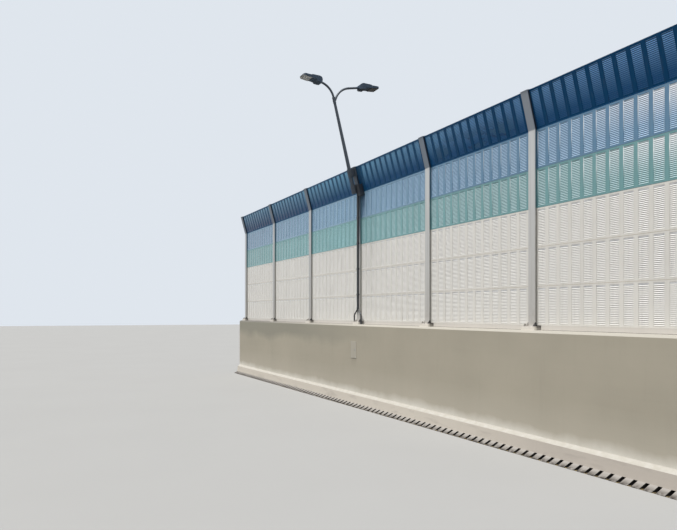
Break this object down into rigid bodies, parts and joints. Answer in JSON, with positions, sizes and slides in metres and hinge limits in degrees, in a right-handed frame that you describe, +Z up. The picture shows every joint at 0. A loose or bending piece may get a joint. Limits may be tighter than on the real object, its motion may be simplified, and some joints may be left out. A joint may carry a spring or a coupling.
{
  "type": "highway noise barrier",
  "caption": "Roadside noise barrier of louvred metal panels between steel posts on a concrete parapet, with a canted head row and a twin-arm lamp on the middle post.",
  "frame": {"origin": "on the ground, under the centreline of the middle post and the middle of the parapet's thickness", "axes": "+X along the barrier, towards its right end as seen from the road; +Y away from the road; +Z up. The road lies on the -Y side."},
  "size_m": [15.3, 1.6009, 6.2608],
  "materials": {
    "concrete": "weathered fair-faced cast concrete",
    "kerb_concrete": "weathered cast concrete",
    "hatch": "matt paint near the colour of the concrete",
    "grout": "rough trowelled grout",
    "sill_paint": "satin off-white powder coat",
    "post_steel": "satin light grey paint over galvanised steel",
    "white_louvres": "satin off-white powder coat",
    "white_sheet": "satin off-white powder coat",
    "green_louvres": "satin pale blue-green powder coat",
    "green_sheet": "satin blue-green powder coat",
    "blue_louvres": "satin pale blue powder coat",
    "blue_sheet": "satin mid-blue powder coat",
    "navy_louvres": "satin blue powder coat",
    "navy_sheet": "satin dark blue powder coat",
    "gasket_rubber": "matt black",
    "lamp_paint": "satin dark grey paint",
    "box_paint": "satin dark grey paint",
    "head_paint": "satin dark grey powder coat on die-cast metal",
    "lamp_glass": "clear toughened glass",
    "conduit_paint": "satin dark grey paint"
  },
  "bodies": {
    "root": {"parapet_wall": "concrete", "drain_kerb": "kerb_concrete", "drain_webs": "kerb_concrete", "hatch_cover": "hatch", "grout_pads": "grout", "base_sills": "sill_paint", "post_1": "post_steel", "post_2": "post_steel", "post_3": "post_steel", "post_4": "post_steel", "post_5": "post_steel", "post_6": "post_steel", "post_7": "post_steel", "lower_white_panels": "white_louvres", "middle_white_panels": "white_louvres", "upper_white_panels": "white_louvres", "green_panels": "green_louvres", "blue_panels": "blue_louvres", "lower_white_fronts": "white_sheet", "middle_white_fronts": "white_sheet", "upper_white_fronts": "white_sheet", "green_fronts": "green_sheet", "blue_fronts": "blue_sheet", "canted_panels": "navy_louvres", "canted_fronts": "navy_sheet", "fold_closers": "navy_sheet", "post_gaskets": "gasket_rubber", "head_gaskets": "gasket_rubber", "lower_clamp": "lamp_paint", "upper_clamp": "lamp_paint", "lamp_pole": "lamp_paint", "lamp_fork": "lamp_paint", "road_arm": "lamp_paint", "outer_arm": "lamp_paint", "junction_box": "box_paint", "road_lamp_head": "head_paint", "road_lamp_glass": "lamp_glass", "outer_lamp_head": "head_paint", "outer_lamp_glass": "lamp_glass", "left_conduit": "conduit_paint", "right_conduit": "conduit_paint", "conduit_clips": "conduit_paint", "conduit_feet": "conduit_paint"}
  },
  "joints": []
}
